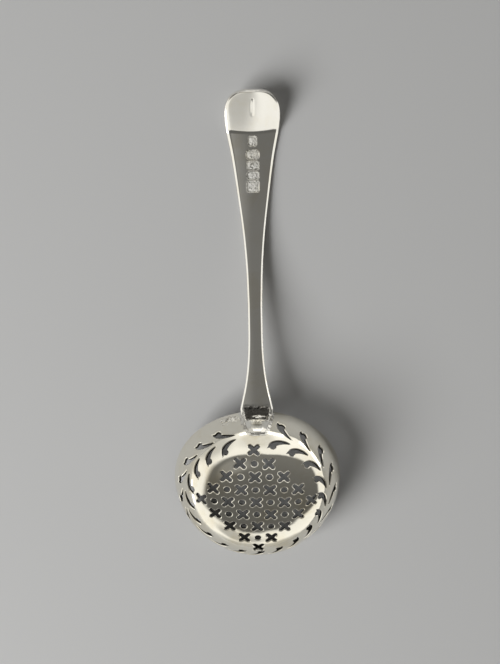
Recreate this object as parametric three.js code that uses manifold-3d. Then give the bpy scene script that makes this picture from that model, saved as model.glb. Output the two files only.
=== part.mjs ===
// Sugar sifter spoon, lying face down as it rests on a table. Units are millimetres, with +Z up.
// The bowl is at -Y and the stem's tip at +Y. The origin is the middle of the footprint, on the table.
import * as THREE from 'three';
import { mergeVertices } from 'three/addons/utils/BufferGeometryUtils.js';
import Module from 'manifold-3d';

const wasm = await Module();
wasm.setup();

// Bowl
const BOWL_WIDTH = 52;
const BOWL_LENGTH = 47.2;
const BOWL_DEPTH = 18;
const BOWL_EGG_SHARE = 0.06;
const SHEET = 0.9;
const CROWN_POWER = 4;
const WALL_POWER = 1.5;
const BOWL_SEGMENTS = 36;
const BOWL_RINGS = 7;

// How the spoon rests: the bowl's near rim is held up by the stem
const REST_TILT_DEG = 12.5;

// The pierced pattern is drawn for a back of this length from crown to rim, and follows the bowl's size
const PATTERN_BACK_LENGTH = 35.15;

// Pierced pattern of the crown: crosses in a diamond, with round holes between them
const LATTICE_SHIFT = 2.1;
const LATTICE_ASIDE = -0.6;
const CROSS_ROWS = 9;
const ROW_PITCH = 4.2;
const HALF_COLUMN = 3.95;
const ROW_TURN_DEG = -1.3;
const COLUMN_LEAN_DEG = 2.9;
const CROSS_ARM_REACH = 1.12;
const CROSS_ARM_HALF_WIDTH = 0.55;
const CROSS_NOTCH = 0.82;
const CROSS_ARM_STEPS = 2;
const ROUND_HOLE_RADIUS = 0.9;
const ROUND_HOLE_STEPS = 8;

// Leaf wreath round the crown: pairs of leaves, one each side of an unseen branch
const LEAF_PAIRS = 19;
const WREATH_SHIFT = 1.1;
const WREATH_ASIDE = -1.1;
const FIRST_LEAF_DEG = 103.6;
const LEAF_PITCH_DEG = 17.6;
const BRANCH_INSET = 12.4;
const LEAF_TAIL_GAP = 1.65;
const LEAF_LENGTH = 7.1;
const LEAF_ARCH_STEPS = 4;
const LEAF_LOBE_STEPS = 3;
const LEAF_UNDERSIDE_STEPS = 2;

// How far the outer and the inner leaves spread from the branch: at the first pair and at the last
const OUTER_SPREADS_DEG = [26, 48];
const INNER_SPREADS_DEG = [36, 26];

// Leaf outline as shares of its length, from the tail at 0, 0 to the tip at 1, 0
const LEAF_ARCH_SHARES = [[0.25, 0.23], [0.8, 0.35]];
const LEAF_LOBE_SHARES = [0.747, 0.01];
const LEAF_LOBE_RADIUS_SHARE = 0.134;
const LEAF_UNDERSIDE_SHARES = [0.3, 0.07];

// Stem, from its tip to the bowl's rim
const STEM_REACH = 97.08;
const TIP_WIDTH = 17.2;
const TIP_ROUND_LENGTH = 7.6;
const TIP_POWER = 2.7;
const WAIST_WIDTH = 4.6;
const WAIST_FROM_TIP = 65;
const FLARE_FROM_TIP = 72;
const SHOULDER_WIDTH = 10.8;
const FLARE_POWER = 2.6;
const TOUCH_FROM_TIP = 30;
const TIP_RISE = 2.2;
const TIP_RISE_POWER = 3;
const TURN_SLOPE_DEG = 30;
const TURN_FROM_TIP = 11.4;
const TURN_LENGTH = 1.8;
const JOINT_SLOPE_DEG = 10.5;
const TIP_THICKNESS = 1.6;
const WAIST_THICKNESS = 2.9;
const SHOULDER_THICKNESS = 2.6;
const TIP_EDGE_ROUND = 1.1;
const WAIST_EDGE_ROUND = 0.65;
const EDGE_NARROWS_UNTIL = 40;
const END_BEND_LENGTH = 4;
const STEM_STATIONS = 46;
const STATION_POWER = 1.4;
const END_STATIONS = 6;
const END_FLAT = 0.02;

// How the tip narrows to the waist: shares of the way along and of the width that is left to lose
const TAPER_SHARES = [[0, 1], [0.055, 0.94], [0.2, 0.69], [0.4, 0.425], [0.6, 0.2], [0.8, 0.06], [1, 0]];

// Section of the stem: how far in each column is, and the share of the thickness at its two faces
const EDGE_COLUMN_SHARES = [0, 0.3, 1];
const EDGE_UNDERSIDE_SHARES = [0.38, 0.12, 0];
const EDGE_BACK_SHARES = [0.58, 0.82, 1];
const BACK_COLUMN_SHARE = 0.6;
const BACK_FALL_SHARE = 0.05;

// Short raised ridge on the back of the tip
const RIDGE_FROM_TIP = 1.9;
const RIDGE_LENGTH = 4.6;
const RIDGE_WIDTH = 1.6;
const RIDGE_HEIGHT = 0.2;

// Drop: the tongue of the stem that runs up the bowl's back
const DROP_LENGTH = 11;
const DROP_BASE_WIDTH = 10;
const DROP_BASE_THICKNESS = 0.8;
const DROP_END_THICKNESS = 0.6;
const DROP_COLUMNS = 6;
const DROP_STATIONS = 10;

// Drop outline: shares of its length from the rim, and of its base width
const DROP_SHARES = [[0, 1], [0.3, 0.92], [0.55, 0.8], [0.75, 0.68], [0.9, 0.56], [0.97, 0.42], [1, 0.2]];

// Blank punched cartouches in a column down the stem's back: place, width, length, corner radius
const PUNCH_DEPTH = 0.3;
const PUNCHES = [
  { fromTip: 14.25, width: 2.9, length: 3.4, corner: 1.1 },
  { fromTip: 18.4, width: 4.2, length: 3.3, corner: 1.3 },
  { fromTip: 21.75, width: 4, length: 2.9, corner: 0.7 },
  { fromTip: 24.8, width: 4, length: 2.6, corner: 0.9 },
  { fromTip: 28.2, width: 3.9, length: 3.8, corner: 0.8 },
];
const PUNCH_CORNER_STEPS = 3;

// Solder seam round the drop, and the gap that every piece keeps to its neighbours
const SEAM_GAP = 0.3;
const SOLDER_WIDTH = 0.9;
const SOLDER_HEIGHT = 0.55;
const SOLDER_LIP_SHARE = 0.35;
const SOLDER_STATIONS = 11;

// How far each cutter passes the metal's two faces, and the steps of measured curves
const OVERRUN = 0.8;
const ARC_STEPS = 400;
const SLOPE_STEP = 0.15;

// Sizes that follow from the ones above
const TILT = THREE.MathUtils.degToRad(REST_TILT_DEG);
const RIM_HALF_PLAN = (BOWL_LENGTH / 2) * Math.cos(TILT);
const RIM_LIFT = (BOWL_LENGTH / 2) * Math.sin(TILT);
const NEAR_RIM_HEIGHT = 2 * RIM_LIFT;
const OVERALL_LENGTH = 2 * RIM_HALF_PLAN + STEM_REACH;
const BOWL_CENTRE_Y = RIM_HALF_PLAN - OVERALL_LENGTH / 2;
const TIP_Y = OVERALL_LENGTH / 2;
const MEAN_RADIUS = (BOWL_WIDTH + BOWL_LENGTH) / 4;

const OUTSIDE = { halfWidth: BOWL_WIDTH / 2, halfLength: BOWL_LENGTH / 2, depth: BOWL_DEPTH };
const INSIDE = {
  halfWidth: OUTSIDE.halfWidth - SHEET,
  halfLength: OUTSIDE.halfLength - SHEET,
  depth: BOWL_DEPTH - SHEET,
};

// From the bowl's own frame, rim plane at z = 0 and crown up, to the way the spoon rests
const REST = new THREE.Matrix4()
  .makeTranslation(0, BOWL_CENTRE_Y, RIM_LIFT)
  .multiply(new THREE.Matrix4().makeRotationX(TILT));

// Turns a geometry into a solid, and a solid back into a geometry
function toSolid(geometry) {
  const bare = geometry.clone();
  bare.deleteAttribute('normal');
  bare.deleteAttribute('uv');
  const merged = mergeVertices(bare);
  const mesh = new wasm.Mesh({
    numProp: 3,
    vertProperties: new Float32Array(merged.attributes.position.array),
    triVerts: new Uint32Array(merged.index.array),
  });
  return new wasm.Manifold(mesh);
}

function toGeometry(solid) {
  const mesh = solid.getMesh();
  const geometry = new THREE.BufferGeometry();
  geometry.setAttribute('position', new THREE.BufferAttribute(new Float32Array(mesh.vertProperties), 3));
  geometry.setIndex(new THREE.BufferAttribute(new Uint32Array(mesh.triVerts), 1));
  geometry.computeVertexNormals();
  return geometry;
}

function geometryFrom(points, faces) {
  const geometry = new THREE.BufferGeometry().setFromPoints(points);
  geometry.setIndex(faces.flat());
  return geometry;
}

// Value at x on a smooth line through [x, value] pairs
function along(pairs, x) {
  const after = pairs.findIndex((pair) => pair[0] >= x);
  const i = THREE.MathUtils.clamp(after === -1 ? pairs.length - 1 : after, 1, pairs.length - 1);
  const slope = (k) => {
    const before = pairs[Math.max(k - 1, 0)];
    const next = pairs[Math.min(k + 1, pairs.length - 1)];
    return (next[1] - before[1]) / (next[0] - before[0]);
  };
  const [x0, y0] = pairs[i - 1];
  const [x1, y1] = pairs[i];
  const span = x1 - x0;
  const t = THREE.MathUtils.clamp((x - x0) / span, 0, 1);
  const rise = y0 + (y1 - y0) * t * t * (3 - 2 * t);
  return rise + span * t * (1 - t) * (slope(i - 1) * (1 - t) - slope(i) * t);
}

// Point on a dome: reach is 0 at the crown and 1 at the rim
function domeHeight(dome, reach) {
  return dome.depth * Math.max(1 - reach ** CROWN_POWER, 0) ** (1 / WALL_POWER);
}

// How much wider the bowl is than an even oval, a little more towards the stem and less away from it
function eggWidth(reach, angle) {
  return 1 + BOWL_EGG_SHARE * reach * Math.sin(angle);
}

function domePoint(dome, reach, angle) {
  const x = dome.halfWidth * reach * Math.cos(angle) * eggWidth(reach, angle);
  const y = dome.halfLength * reach * Math.sin(angle);
  return new THREE.Vector3(x, y, domeHeight(dome, reach));
}

function domeNormal(dome, reach, angle) {
  const steep = (dome.depth * CROWN_POWER * reach ** (CROWN_POWER - 1)) / WALL_POWER;
  const x = (steep * Math.cos(angle)) / dome.halfWidth / eggWidth(reach, angle);
  const widening = (BOWL_EGG_SHARE * dome.halfWidth * reach * Math.cos(angle)) / dome.halfLength;
  const y = (steep * Math.sin(angle)) / dome.halfLength - x * widening;
  const z = Math.max(1 - reach ** CROWN_POWER, 0) ** (1 - 1 / WALL_POWER);
  return new THREE.Vector3(x, y, z).normalize();
}

// Reach at a share of the way out, with steps that shorten towards the steep wall
function reachAt(share) {
  return Math.sin((Math.PI / 2) * share);
}

// Length over the dome's back from the crown, on a circle of the mean radius
function arcLengths() {
  const lengths = [0];
  for (let i = 1; i <= ARC_STEPS; i++) {
    const [from, to] = [reachAt((i - 1) / ARC_STEPS), reachAt(i / ARC_STEPS)];
    const fall = domeHeight(OUTSIDE, from) - domeHeight(OUTSIDE, to);
    lengths.push(lengths[i - 1] + Math.hypot(MEAN_RADIUS * (to - from), fall));
  }
  return lengths;
}

const ARCS = arcLengths();
const RIM_ARC = ARCS[ARC_STEPS];
const PATTERN_SCALE = RIM_ARC / PATTERN_BACK_LENGTH;

function reachAtArc(arc) {
  const after = ARCS.findIndex((length) => length >= arc);
  const i = after === -1 ? ARC_STEPS : Math.max(after, 1);
  return reachAt((i - 1 + (arc - ARCS[i - 1]) / (ARCS[i] - ARCS[i - 1])) / ARC_STEPS);
}

// Point at a place on the bowl's back, given as lengths over the metal, raised by a height off it
function onBack(place, height) {
  const reach = reachAtArc(place.length());
  const angle = Math.atan2(place.y, place.x);
  return domePoint(OUTSIDE, reach, angle).addScaledVector(domeNormal(OUTSIDE, reach, angle), height);
}

// Place on the bowl's near wall, a true distance aside from the spoon's axis
function besideAxis(aside, arc) {
  const reach = reachAtArc(arc);
  const cosine = aside / (OUTSIDE.halfWidth * reach * eggWidth(reach, Math.PI / 2));
  return new THREE.Vector2(arc * cosine, arc * Math.sqrt(1 - cosine ** 2));
}

// Bowl before piercing: two domes joined at a flat rim
function bowlShell() {
  const points = [];
  const faces = [];
  const rows = [OUTSIDE, INSIDE].map((dome) => {
    const crown = points.push(domePoint(dome, 0, 0)) - 1;
    const rings = [];
    for (let i = 1; i <= BOWL_RINGS; i++) {
      const reach = reachAt(i / BOWL_RINGS);
      const ring = [];
      for (let k = 0; k < BOWL_SEGMENTS; k++) {
        ring.push(points.push(domePoint(dome, reach, (2 * Math.PI * k) / BOWL_SEGMENTS)) - 1);
      }
      rings.push(ring);
    }
    return { crown, rings };
  });
  const band = (inner, outer, flip) => {
    for (let k = 0; k < BOWL_SEGMENTS; k++) {
      const next = (k + 1) % BOWL_SEGMENTS;
      const quad = [inner[k], outer[k], outer[next], inner[next]];
      const [a, b, c, d] = flip ? quad.reverse() : quad;
      faces.push([a, b, c], [a, c, d]);
    }
  };
  rows.forEach(({ crown, rings }, side) => {
    for (let k = 0; k < BOWL_SEGMENTS; k++) {
      const next = (k + 1) % BOWL_SEGMENTS;
      faces.push(side ? [crown, rings[0][next], rings[0][k]] : [crown, rings[0][k], rings[0][next]]);
    }
    for (let i = 1; i < BOWL_RINGS; i++) band(rings[i - 1], rings[i], side === 1);
  });
  const rim = BOWL_RINGS - 1;
  band(rows[0].rings[rim], rows[1].rings[rim], false);
  return geometryFrom(points, faces);
}

// Cutter for one hole of the pattern, square to the metal all round its outline
function piercing(outline) {
  const drawn = THREE.ShapeUtils.isClockWise(outline) ? [...outline].reverse() : outline;
  const contour = drawn.map((place) => place.clone().multiplyScalar(PATTERN_SCALE));
  const count = contour.length;
  const above = contour.map((place) => onBack(place, OVERRUN));
  const below = contour.map((place) => onBack(place, -SHEET - OVERRUN));
  const faces = [];
  for (const [a, b, c] of THREE.ShapeUtils.triangulateShape(contour, [])) {
    faces.push([a, b, c], [a + count, c + count, b + count]);
  }
  for (let k = 0; k < count; k++) {
    const next = (k + 1) % count;
    faces.push([k, k + count, next + count], [k, next + count, next]);
  }
  return toSolid(geometryFrom([...above, ...below], faces));
}

// Arc as points, from one angle to the other
function arcPoints(x, y, radius, from, to, steps) {
  return new THREE.EllipseCurve(x, y, radius, radius, from, to, to < from).getPoints(steps);
}

// Saltire cross with round arm ends
function crossOutline() {
  const outline = [];
  const centre = new THREE.Vector2();
  const [from, to] = [-Math.PI / 4, (3 * Math.PI) / 4];
  for (let arm = 0; arm < 4; arm++) {
    const turn = (arm * Math.PI) / 2;
    const tip = arcPoints(CROSS_ARM_REACH, CROSS_ARM_REACH, CROSS_ARM_HALF_WIDTH, from, to, CROSS_ARM_STEPS);
    const corner = [new THREE.Vector2(CROSS_NOTCH, 0), ...tip];
    outline.push(...corner.map((point) => point.rotateAround(centre, turn)));
  }
  return outline;
}

function roundOutline() {
  return arcPoints(0, 0, ROUND_HOLE_RADIUS, 0, 2 * Math.PI, ROUND_HOLE_STEPS).slice(0, -1);
}

// Leaf: an arched side, a point, a round lobe under it, and a hollow run back to the tail
function leafOutline() {
  const place = ([x, y]) => new THREE.Vector2(x * LEAF_LENGTH, y * LEAF_LENGTH);
  const tail = new THREE.Vector2();
  const tip = new THREE.Vector2(LEAF_LENGTH, 0);
  const lobe = place(LEAF_LOBE_SHARES);
  const radius = LEAF_LOBE_RADIUS_SHARE * LEAF_LENGTH;
  const arch = new THREE.CubicBezierCurve(tail, ...LEAF_ARCH_SHARES.map(place), tip);
  const lobeEdge = arcPoints(lobe.x, lobe.y, radius, 0, -Math.PI, LEAF_LOBE_STEPS);
  const underside = new THREE.QuadraticBezierCurve(lobeEdge.at(-1), place(LEAF_UNDERSIDE_SHARES), tail);
  return [
    ...arch.getPoints(LEAF_ARCH_STEPS),
    ...lobeEdge,
    ...underside.getPoints(LEAF_UNDERSIDE_STEPS).slice(1, -1),
  ];
}

// Crosses in rows of 1, 2, 3, 4, 5, 4, 3, 2 and 1, with a round hole between each two in a row
function latticePiercings() {
  const turn = THREE.MathUtils.degToRad(ROW_TURN_DEG);
  const lean = Math.tan(THREE.MathUtils.degToRad(COLUMN_LEAN_DEG));
  const middle = (CROSS_ROWS - 1) / 2;
  const centre = new THREE.Vector2();
  const shift = new THREE.Vector2(LATTICE_ASIDE, LATTICE_SHIFT);
  const cutters = [];
  for (let row = -middle; row <= middle; row++) {
    const last = middle - Math.abs(row);
    for (let column = -last; column <= last; column++) {
      const across = column * HALF_COLUMN;
      const up = row * ROW_PITCH;
      const outline = (column + last) % 2 === 0 ? crossOutline() : roundOutline();
      const placed = outline.map((point) =>
        point.add(new THREE.Vector2(across - up * lean, up)).rotateAround(centre, turn).add(shift),
      );
      cutters.push(piercing(placed));
    }
  }
  return cutters;
}

// Pairs of leaves round the crown, spreading to the rim and to the crown from their branch
function wreathPiercings() {
  const branchArc = PATTERN_BACK_LENGTH - BRANCH_INSET;
  const branchRadius = (MEAN_RADIUS * reachAtArc(branchArc * PATTERN_SCALE)) / PATTERN_SCALE;
  const centre = new THREE.Vector2();
  const shift = new THREE.Vector2(WREATH_ASIDE, WREATH_SHIFT);
  const cutters = [];
  for (let pair = 0; pair < LEAF_PAIRS; pair++) {
    const start = THREE.MathUtils.degToRad(FIRST_LEAF_DEG + pair * LEAF_PITCH_DEG);
    for (const [i, [first, last]] of [OUTER_SPREADS_DEG, INNER_SPREADS_DEG].entries()) {
      const spread = THREE.MathUtils.degToRad(THREE.MathUtils.lerp(first, last, pair / (LEAF_PAIRS - 1)));
      const side = i === 0 ? 1 : -1;
      const outline = leafOutline().map(({ x, y }) => {
        const forward = x * Math.cos(spread) + y * Math.sin(spread);
        const aside = LEAF_TAIL_GAP / 2 + x * Math.sin(spread) - y * Math.cos(spread);
        const angle = start + forward / branchRadius;
        return new THREE.Vector2(branchArc + side * aside, 0).rotateAround(centre, angle).add(shift);
      });
      cutters.push(piercing(outline));
    }
  }
  return cutters;
}

// Solid through a row of stations, each with a lower and an upper rail of as many points
function railLoft(stations) {
  const count = stations[0].lower.length;
  const points = stations.flatMap(({ lower, upper }) => [...lower, ...upper.toReversed()]);
  const around = 2 * count;
  const faces = [];
  for (let i = 1; i < stations.length; i++) {
    for (let k = 0; k < around; k++) {
      const next = (k + 1) % around;
      const [a, b] = [(i - 1) * around + k, (i - 1) * around + next];
      const [c, d] = [i * around + next, i * around + k];
      faces.push([a, c, b], [a, d, c]);
    }
  }
  const last = (stations.length - 1) * around;
  for (let k = 1; k < count; k++) {
    const [a, b] = [k - 1, k];
    const [c, d] = [around - 1 - k, around - k];
    faces.push([a, b, c], [a, c, d], [last + a, last + c, last + b], [last + a, last + d, last + c]);
  }
  return toSolid(geometryFrom(points, faces));
}

// Half the stem's width at a distance from its tip
function stemHalfWidth(fromTip) {
  const [tip, waist, shoulder] = [TIP_WIDTH / 2, WAIST_WIDTH / 2, SHOULDER_WIDTH / 2];
  if (fromTip < TIP_ROUND_LENGTH) {
    return tip * (1 - (1 - fromTip / TIP_ROUND_LENGTH) ** TIP_POWER) ** (1 / TIP_POWER);
  }
  if (fromTip < WAIST_FROM_TIP) {
    const way = (fromTip - TIP_ROUND_LENGTH) / (WAIST_FROM_TIP - TIP_ROUND_LENGTH);
    return waist + (tip - waist) * along(TAPER_SHARES, way);
  }
  const flare = Math.max(fromTip - FLARE_FROM_TIP, 0) / (STEM_REACH - FLARE_FROM_TIP);
  return waist + (shoulder - waist) * flare ** FLARE_POWER;
}

// Extra rise of the turned end: none up to the bend, a round bend, then a straight slope
function turnedRise(fromTip) {
  const past = TURN_FROM_TIP + TURN_LENGTH / 2 - fromTip;
  const bend = THREE.MathUtils.clamp(past, 0, TURN_LENGTH);
  const slope = Math.tan(THREE.MathUtils.degToRad(TURN_SLOPE_DEG));
  return slope * (bend ** 2 / (2 * TURN_LENGTH) + Math.max(past - TURN_LENGTH, 0));
}

// Height of the stem's underside over the table: it touches at one place and rises both ways
function stemHeight(fromTip) {
  if (fromTip < TOUCH_FROM_TIP) {
    return TIP_RISE * (1 - fromTip / TOUCH_FROM_TIP) ** TIP_RISE_POWER + turnedRise(fromTip);
  }
  const span = STEM_REACH - TOUCH_FROM_TIP;
  const way = (fromTip - TOUCH_FROM_TIP) / span;
  const endRise = Math.tan(THREE.MathUtils.degToRad(JOINT_SLOPE_DEG)) * span;
  return way ** 2 * (3 * NEAR_RIM_HEIGHT - endRise) + way ** 3 * (endRise - 2 * NEAR_RIM_HEIGHT);
}

// Direction across the stem's thickness, leaning with the bowl's wall over the last few millimetres
function stemUp(fromTip) {
  const rise = stemHeight(fromTip + SLOPE_STEP) - stemHeight(fromTip - SLOPE_STEP);
  const slope = rise / (2 * SLOPE_STEP);
  const square = new THREE.Vector3(0, slope, 1).normalize();
  const wall = domeNormal(OUTSIDE, 1, Math.PI / 2);
  const wallUp = new THREE.Vector3(0, -wall.z, wall.y).applyAxisAngle(new THREE.Vector3(1, 0, 0), TILT);
  const bend = THREE.MathUtils.smoothstep(fromTip, STEM_REACH - END_BEND_LENGTH, STEM_REACH);
  return square.lerp(wallUp, bend).normalize();
}

function stemThickness(fromTip) {
  const { lerp, smoothstep } = THREE.MathUtils;
  const body = lerp(TIP_THICKNESS, WAIST_THICKNESS, smoothstep(fromTip, TIP_ROUND_LENGTH, WAIST_FROM_TIP));
  return lerp(body, SHOULDER_THICKNESS, smoothstep(fromTip, FLARE_FROM_TIP, STEM_REACH));
}

// How far in from the stem's sides the rounding of its edges reaches
function edgeRound(fromTip) {
  const { lerp, smoothstep } = THREE.MathUtils;
  return lerp(TIP_EDGE_ROUND, WAIST_EDGE_ROUND, smoothstep(fromTip, TIP_ROUND_LENGTH, EDGE_NARROWS_UNTIL));
}

// Share of the thickness left near the tip's end, where the edge is rounded off
function endShare(fromTip) {
  const inward = Math.min(fromTip / TIP_EDGE_ROUND, 1);
  return Math.sqrt(1 - (1 - inward) ** 2 * (1 - EDGE_UNDERSIDE_SHARES[0] ** 2));
}

function ridgeHeight(fromTip) {
  const way = THREE.MathUtils.clamp((fromTip - RIDGE_FROM_TIP) / RIDGE_LENGTH, 0, 1);
  return RIDGE_HEIGHT * Math.sin(Math.PI * way);
}

// One section of the stem, square to its run
function stemStation(fromTip) {
  const half = stemHalfWidth(fromTip);
  const thickness = stemThickness(fromTip);
  const thinning = endShare(fromTip);
  const edge = Math.min(edgeRound(fromTip), half / 2);
  const base = new THREE.Vector3(0, TIP_Y - fromTip, stemHeight(fromTip));
  const up = stemUp(fromTip);
  const column = (x, underside, back) => ({
    x,
    low: thickness * (0.5 + (underside - 0.5) * thinning),
    high: thickness * (0.5 + (back - 0.5) * thinning) - (BACK_FALL_SHARE * x ** 2) / half,
  });
  const side = EDGE_COLUMN_SHARES.map((share, k) =>
    column(half - share * edge, EDGE_UNDERSIDE_SHARES[k], EDGE_BACK_SHARES[k]),
  );
  side.push(column((half - edge) * BACK_COLUMN_SHARE, 0, 1));
  side.push(column(Math.min(RIDGE_WIDTH / 2, side.at(-1).x / 2), 0, 1));
  const middle = column(0, 0, 1);
  middle.high += ridgeHeight(fromTip);
  const mirrored = side.map((place) => ({ ...place, x: -place.x }));
  const across = [...mirrored, middle, ...side.toReversed()];
  const at = (x, height) => base.clone().addScaledVector(up, height).setX(x);
  return {
    lower: across.map(({ x, low }) => at(x, low)),
    upper: across.map(({ x, high }) => at(x, high)),
  };
}

// Stem from the tip to a face that stands just clear of the bowl's wall
function stemBody() {
  const end = STEM_REACH - 2 * SEAM_GAP;
  const stations = [];
  for (let i = 0; i < END_STATIONS; i++) {
    const way = 1 - Math.cos((Math.PI / 2) * (i / END_STATIONS));
    stations.push(stemStation(THREE.MathUtils.lerp(END_FLAT, TIP_ROUND_LENGTH, way)));
  }
  for (let i = 0; i <= STEM_STATIONS; i++) {
    const way = (i / STEM_STATIONS) ** STATION_POWER;
    stations.push(stemStation(THREE.MathUtils.lerp(TIP_ROUND_LENGTH, end, way)));
  }
  return railLoft(stations.toReversed());
}

// Cutter for one cartouche, sunk square into the stem's back
function punch({ fromTip, width, length, corner }) {
  const [x, y] = [width / 2 - corner, length / 2 - corner];
  const outline = [[x, y], [-x, y], [-x, -y], [x, -y]].flatMap(([cx, cy], k) =>
    arcPoints(cx, cy, corner, (k * Math.PI) / 2, ((k + 1) * Math.PI) / 2, PUNCH_CORNER_STEPS),
  );
  const depth = PUNCH_DEPTH + OVERRUN;
  const geometry = new THREE.ExtrudeGeometry(new THREE.Shape(outline), { depth, bevelEnabled: false });
  const up = stemUp(fromTip);
  const floor = stemThickness(fromTip) - PUNCH_DEPTH;
  const place = new THREE.Vector3(0, TIP_Y - fromTip, stemHeight(fromTip)).addScaledVector(up, floor);
  const side = new THREE.Vector3(1, 0, 0);
  geometry.applyMatrix4(new THREE.Matrix4().makeBasis(side, up.clone().cross(side), up).setPosition(place));
  return toSolid(geometry);
}

// Half the drop's width at a share of its length from the rim
function dropHalfWidth(way) {
  return (DROP_BASE_WIDTH / 2) * along(DROP_SHARES, way);
}

// Drop: a pad over the bowl's back from the rim, thinning to its end
function drop() {
  const stations = [];
  for (let i = 0; i <= DROP_STATIONS; i++) {
    const way = Math.sin((Math.PI / 2) * (i / DROP_STATIONS));
    const half = dropHalfWidth(way);
    const top = SEAM_GAP + THREE.MathUtils.lerp(DROP_BASE_THICKNESS, DROP_END_THICKNESS, way);
    const arc = RIM_ARC - SEAM_GAP - way * (DROP_LENGTH - SEAM_GAP);
    const places = Array.from({ length: DROP_COLUMNS + 1 }, (_, k) =>
      besideAxis(half * ((2 * k) / DROP_COLUMNS - 1), arc),
    );
    stations.push({
      lower: places.map((place) => onBack(place, SEAM_GAP)),
      upper: places.map((place) => onBack(place, top)),
    });
  }
  return railLoft(stations.toReversed()).transform(REST.elements);
}

function stemSolid() {
  const whole = stemBody().add(drop());
  return PUNCHES.reduce((solid, mark) => solid.subtract(punch(mark)), whole);
}

function bowlSolid() {
  const cutters = [...latticePiercings(), ...wreathPiercings()];
  return wasm.Manifold.difference([toSolid(bowlShell()), ...cutters]).transform(REST.elements);
}

// Solder seam: a low fillet that follows the drop's edge up one side, round its end and down the other
function solderSolid() {
  const edge = [];
  for (let i = 0; i <= SOLDER_STATIONS; i++) {
    const way = Math.sin((Math.PI / 2) * (i / SOLDER_STATIONS));
    edge.push(new THREE.Vector2(dropHalfWidth(way), RIM_ARC - SEAM_GAP - way * (DROP_LENGTH - SEAM_GAP)));
  }
  const line = [...edge, ...edge.toReversed().map(({ x, y }) => new THREE.Vector2(-x, y))];
  const stations = line.map((place, k) => {
    const before = line[Math.max(k - 1, 0)];
    const after = line[Math.min(k + 1, line.length - 1)];
    const out = after.clone().sub(before).normalize().rotateAround(new THREE.Vector2(), Math.PI / 2);
    const [near, far] = [SEAM_GAP, SEAM_GAP + SOLDER_WIDTH].map((gap) => {
      const { x, y } = place.clone().addScaledVector(out, gap);
      return besideAxis(x, y);
    });
    return {
      lower: [onBack(near, SEAM_GAP), onBack(far, SEAM_GAP)],
      upper: [
        onBack(near, SEAM_GAP + SOLDER_HEIGHT),
        onBack(far, SEAM_GAP + SOLDER_HEIGHT * SOLDER_LIP_SHARE),
      ],
    };
  });
  return railLoft(stations.toReversed()).transform(REST.elements);
}

function silver(color, roughness) {
  return new THREE.MeshStandardMaterial({ color, roughness, metalness: 1 });
}

function namedMesh(name, solid, material) {
  const mesh = new THREE.Mesh(toGeometry(solid), material);
  mesh.name = name;
  return mesh;
}

// Moves the pieces together, until the middle of their footprint is at the origin
function standAtOrigin(group) {
  const box = new THREE.Box3().setFromObject(group);
  const middle = box.getCenter(new THREE.Vector3());
  for (const mesh of group.children) mesh.geometry.translate(-middle.x, -middle.y, -box.min.z);
}

const spoon = new THREE.Group();
spoon.add(
  namedMesh('pierced_bowl', bowlSolid(), silver('#d8d5cd', 0.18)),
  namedMesh('stem', stemSolid(), silver('#d4d1c9', 0.22)),
  namedMesh('solder_seam', solderSolid(), silver('#a9a596', 0.5)),
);
standAtOrigin(spoon);

export default spoon;
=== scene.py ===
import math

import bpy
import numpy as np
from mathutils import Matrix, Vector, geometry, noise


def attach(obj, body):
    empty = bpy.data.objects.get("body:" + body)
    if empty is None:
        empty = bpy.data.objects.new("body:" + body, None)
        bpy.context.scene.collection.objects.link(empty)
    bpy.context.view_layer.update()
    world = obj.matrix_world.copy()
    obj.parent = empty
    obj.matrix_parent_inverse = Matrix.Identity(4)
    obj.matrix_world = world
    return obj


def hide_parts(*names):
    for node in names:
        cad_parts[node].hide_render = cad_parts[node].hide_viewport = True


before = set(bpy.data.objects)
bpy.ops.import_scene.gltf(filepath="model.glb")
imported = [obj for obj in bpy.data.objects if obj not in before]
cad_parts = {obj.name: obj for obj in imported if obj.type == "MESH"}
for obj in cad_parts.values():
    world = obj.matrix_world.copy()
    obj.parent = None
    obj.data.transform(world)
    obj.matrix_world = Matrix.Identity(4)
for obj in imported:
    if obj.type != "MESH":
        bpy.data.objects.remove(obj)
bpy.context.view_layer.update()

# Sugar sifter spoon, lying face down. Lengths are in millimetres until a mesh is made.
MM = 0.001

# Bowl
BOWL_WIDTH = 52.0
BOWL_LENGTH = 47.2
BOWL_DEPTH = 18.0
BOWL_EGG_SHARE = 0.06
SHEET = 0.9
CROWN_POWER = 4.0
WALL_POWER = 1.5
REST_TILT = math.radians(12.5)
BOWL_CENTRE_Y = -48.264
HOLE_BEVEL = 0.23
RIM_ROUND = 0.3
GRID_PITCH = 0.85
CLEAR_OF_EDGE = 0.3

# Pierced crown
LATTICE_SHIFT = (-0.6, 2.1)
CROSS_ROWS = 9
ROW_PITCH = 4.2
HALF_COLUMN = 3.95
ROW_TURN = math.radians(-1.3)
COLUMN_LEAN = math.radians(2.9)
CROSS_ARM_REACH = 1.12
CROSS_ARM_HALF_WIDTH = 0.55
CROSS_NOTCH = 0.82
ROUND_HOLE_RADIUS = 0.9

# Leaf wreath
LEAF_PAIRS = 19
WREATH_SHIFT = (-1.1, 1.1)
FIRST_LEAF = math.radians(103.6)
LEAF_PITCH = math.radians(17.6)
BRANCH_INSET = 12.4
LEAF_TAIL_GAP = 1.65
LEAF_LENGTH = 7.1
LEAF_ARCH_SHARES = ((0.0, 0.0), (0.25, 0.23), (0.8, 0.35), (1.0, 0.0))
LEAF_LOBE_SHARES = (0.747, 0.01)
LEAF_LOBE_RADIUS_SHARE = 0.134
LEAF_UNDERSIDE_SHARES = (0.3, 0.07)

# How far the outer and the inner leaves spread from the branch, in degrees: at the first pair and at the last
LEAF_SPREADS = ((26.0, 48.0), (36.0, 26.0))

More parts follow.
